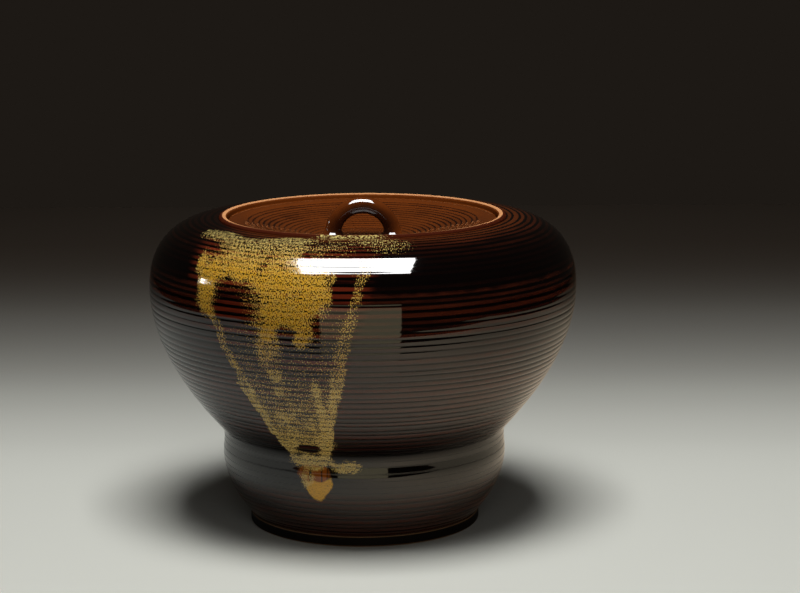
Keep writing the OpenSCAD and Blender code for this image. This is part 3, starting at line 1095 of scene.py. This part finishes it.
class MIZUSASHI_OT_loop(Operator):
    """Bends the coil of clay into the lid's loop and spreads its feet"""

    bl_idname = "mizusashi.loop"
    bl_label = "Lid Loop"

    def execute(self, context):
        settings = context.scene.mizusashi
        s = settings.lid
        land_z = LID_HIGH.z - s.dish_depth
        coil_r = s.coil_d / 2
        loop_r = LOOP_HIGH.z - land_z - coil_r
        form = bmesh.new()
        arc = form.verts.layers.float.new("arc")
        thin = form.verts.layers.float.new("thin")
        ring = bmesh.ops.create_circle(
            form, segments=COIL_SIDES, radius=coil_r, matrix=Matrix.Translation((loop_r, 0.0, land_z))
        )["verts"]
        bmesh.ops.spin(
            form,
            geom=ring + form.edges[:],
            cent=(0.0, 0.0, land_z),
            axis=(0.0, -1.0, 0.0),
            angle=math.pi,
            steps=COIL_STEPS,
        )
        for vert in form.verts:
            rise = vert.co.z - land_z
            outward = (math.hypot(vert.co.x, rise) - loop_r) / coil_r
            leg = Vector((math.copysign(loop_r, vert.co.x), 0.0, vert.co.z))
            spread = max(0.0, 1 - rise / s.flare_h) ** 2
            vert.co += (vert.co - leg) * spread * s.flare_w / coil_r
            vert[arc] = INSIDE_ARC
            # Brown on the outer side of the coil, dark on its inner side round the opening: the dark inner
            # side is painted shade
            vert[thin] = LOOP_THIN * (1 + outward) / 2
        rims = [edge for edge in form.edges if edge.is_boundary]
        low = bmesh.ops.extrude_edge_only(form, edges=rims)["geom"]
        sunk = [part for part in low if isinstance(part, bmesh.types.BMVert)]
        bmesh.ops.translate(form, verts=sunk, vec=(0.0, 0.0, -s.sink))
        bmesh.ops.holes_fill(form, edges=[edge for edge in form.edges if edge.is_boundary], sides=0)
        glaze = material_for(AMBER_GLAZE, amber_glaze, settings.colours)
        fire("clay_loop", form, [glaze], "lid", "lid_loop")
        return {"FINISHED"}


class MIZUSASHI_OT_stage(Operator):
    """Lays the paper with its painted falloff, stands the glowing card, hangs the lamps and sets the camera
    """

    bl_idname = "mizusashi.stage"
    bl_label = "Stage"

    def execute(self, context):
        s = context.scene.mizusashi.stage
        self.lay_paper(s)
        self.stand_card(s)
        self.hang_lamps(s)
        self.set_camera(s)
        context.scene.view_settings.view_transform = "Standard"
        return {"FINISHED"}

    def lay_paper(self, s):
        """Pale paper painted darker behind the jar, as shade where the light falls off. Gloss sees its edges
        and a painted reflection on its sides, the camera sees it run on.
        """
        material, add = blank("Matt_Graded_Backdrop_Paper")
        axes = add("SeparateXYZ", (add("TexCoord").outputs["Object"],)).outputs
        near, end = PAPER_PAINTED_FALLOFF[0][0], PAPER_PAINTED_FALLOFF[-1][0]
        back = add("MapRange", (axes["Y"], near, end))
        points = [((depth - near) / (end - near), share) for depth, share in PAPER_PAINTED_FALLOFF]
        painted_falloff = add("FloatCurve", {"Value": back}, curve=points)
        dark = [c * ROOM_SHARE for c in s.room[:3]] + [1.0]
        graded = add("Mix", {"Factor": painted_falloff, "A": dark, "B": s.paper}, data_type="RGBA")
        seen = add("LightPath").outputs["Is Camera Ray"]
        # What gloss sees of the paper is tinted by side: a painted reflection that the camera doesn't see
        side = PAINTED_REFLECTION_LEFT
        right = add("MapRange", (axes["X"], *WARM_FROM))
        far = add("MapRange", (axes["X"], *FAR_FROM))
        for mask, over in ((right, PAINTED_REFLECTION_RIGHT), (far, PAINTED_REFLECTION_FAR_RIGHT), (seen, (1, 1, 1, 1))):
            side = add("Mix", {"Factor": mask, "A": side, "B": over}, data_type="RGBA")
        tinted = {"Factor": 1.0, "A": graded, "B": side}
        graded = add("Mix", tinted, data_type="RGBA", blend_type="MULTIPLY")
        sheet = add("Math", (axes["X"], GLOSS_RIGHT), operation="LESS_THAN")
        for way, edge in (("X", GLOSS_LEFT), ("Y", GLOSS_FRONT)):
            within = add("Math", (axes[way], edge), operation="GREATER_THAN")
            sheet = add("Math", (sheet, within), operation="MULTIPLY")
        sheet = add("Math", (sheet, seen), operation="MAXIMUM")
        shade = add("Mix", {"Factor": sheet, "A": s.room, "B": graded}, data_type="RGBA")
        looks = {"Base Color": shade, "Roughness": 1.0, "Specular IOR Level": 0.0}
        add("OutputMaterial", {"Surface": add("BsdfPrincipled", looks)})
        spread = Matrix.Translation(PAPER_MIDDLE) @ Matrix.Diagonal((*PAPER_HALF, 1.0, 1.0))
        self.sheet("paper", material, spread)

    def stand_card(self, s):
        """A glowing card before the jar that only its gloss shows: a painted reflection, lit by no lamp."""
        material, add = blank("White_Card_Lit_From_Behind")
        glow = [a * b for a, b in zip(s.paper, CARD_GLOW)] + [1.0]
        looks = {"Base Color": s.room, "Emission Color": glow, "Emission Strength": 1.0}
        add("OutputMaterial", {"Surface": add("BsdfPrincipled", looks)})
        upright = Matrix.Rotation(math.radians(90), 4, "X") @ Matrix.Diagonal((*CARD_HALF, 1.0, 1.0))
        card = self.sheet("bounce_card", material, Matrix.Translation(CARD_MIDDLE) @ upright)
        card.visible_camera = False
        card.visible_shadow = False
        card.visible_diffuse = False

    def sheet(self, name, material, matrix):
        """A flat sheet of the stage."""
        form = bmesh.new()
        bmesh.ops.create_grid(form, x_segments=1, y_segments=1, size=1.0, matrix=matrix)
        flat = meshed(name, form, [material])
        return flat

    def hang_lamps(self, s):
        """A key in front and above, a softbox overhead for the gloss, a low fill and a small spark.

        The camera sees none of them, and the room beyond them is dark.
        """
        for lamp in LAMPS:
            light = bpy.data.lights.new(lamp.name, "AREA")
            light.shape = "RECTANGLE"
            light.size, light.size_y = lamp.size
            light.energy = getattr(s, f"{lamp.name}_power")
            hung = stand(lamp.name, light)
            hung.location = lamp.place
            way = Vector(lamp.aim) - Vector(lamp.place)
            hung.rotation_euler = way.to_track_quat("-Z", "Y").to_euler()
            hung.visible_camera = False
            setattr(hung, lamp.hidden, False)
        world = bpy.data.worlds.new("dark_room")
        world.use_nodes = True
        world.node_tree.nodes["Background"].inputs["Color"].default_value = s.room
        bpy.context.scene.world = world

    def set_camera(self, s):
        """The camera at the viewing angle that shows the jar's front and a little of its lid."""
        view = bpy.data.cameras.new("camera")
        view.lens = s.lens
        view.sensor_width = SENSOR_MM
        camera = stand("camera", view)
        lean = Matrix.Rotation(math.radians(90) - s.tilt, 4, "X") @ Matrix.Rotation(s.roll, 4, "Z")
        camera.matrix_world = Matrix.Translation(s.eye) @ lean
        bpy.context.scene.camera = camera


class MIZUSASHI_PT_sidebar(Panel):
    """Lists the pieces of the water jar and their settings"""

    bl_idname = "MIZUSASHI_PT_sidebar"
    bl_label = "Mizusashi Water Jar"
    bl_space_type = "VIEW_3D"
    bl_region_type = "UI"
    bl_category = "Mizusashi"

    def draw(self, context):
        for piece in PIECES:
            self.layout.operator(piece.bl_idname)
        settings = context.scene.mizusashi
        for group in (settings.jar, settings.lid, settings.colours, settings.stage):
            box = self.layout.box()
            for name in group.__annotations__:
                box.prop(group, name)


PIECES = (MIZUSASHI_OT_jar, MIZUSASHI_OT_foot, MIZUSASHI_OT_lid, MIZUSASHI_OT_loop, MIZUSASHI_OT_stage)
CLASSES = (JarSizes, LidSizes, GlazeColours, StageSettings, MizusashiSettings, *PIECES, MIZUSASHI_PT_sidebar)


def register():
    for item in CLASSES:
        bpy.utils.register_class(item)
    bpy.types.Scene.mizusashi = PointerProperty(type=MizusashiSettings)


def unregister():
    del bpy.types.Scene.mizusashi
    for item in reversed(CLASSES):
        bpy.utils.unregister_class(item)


def main():
    """Makes the pieces and the stage."""
    register()
    for piece in PIECES:
        family, name = piece.bl_idname.split(".")
        getattr(getattr(bpy.ops, family), name)()


if __name__ == "__main__":
    main()
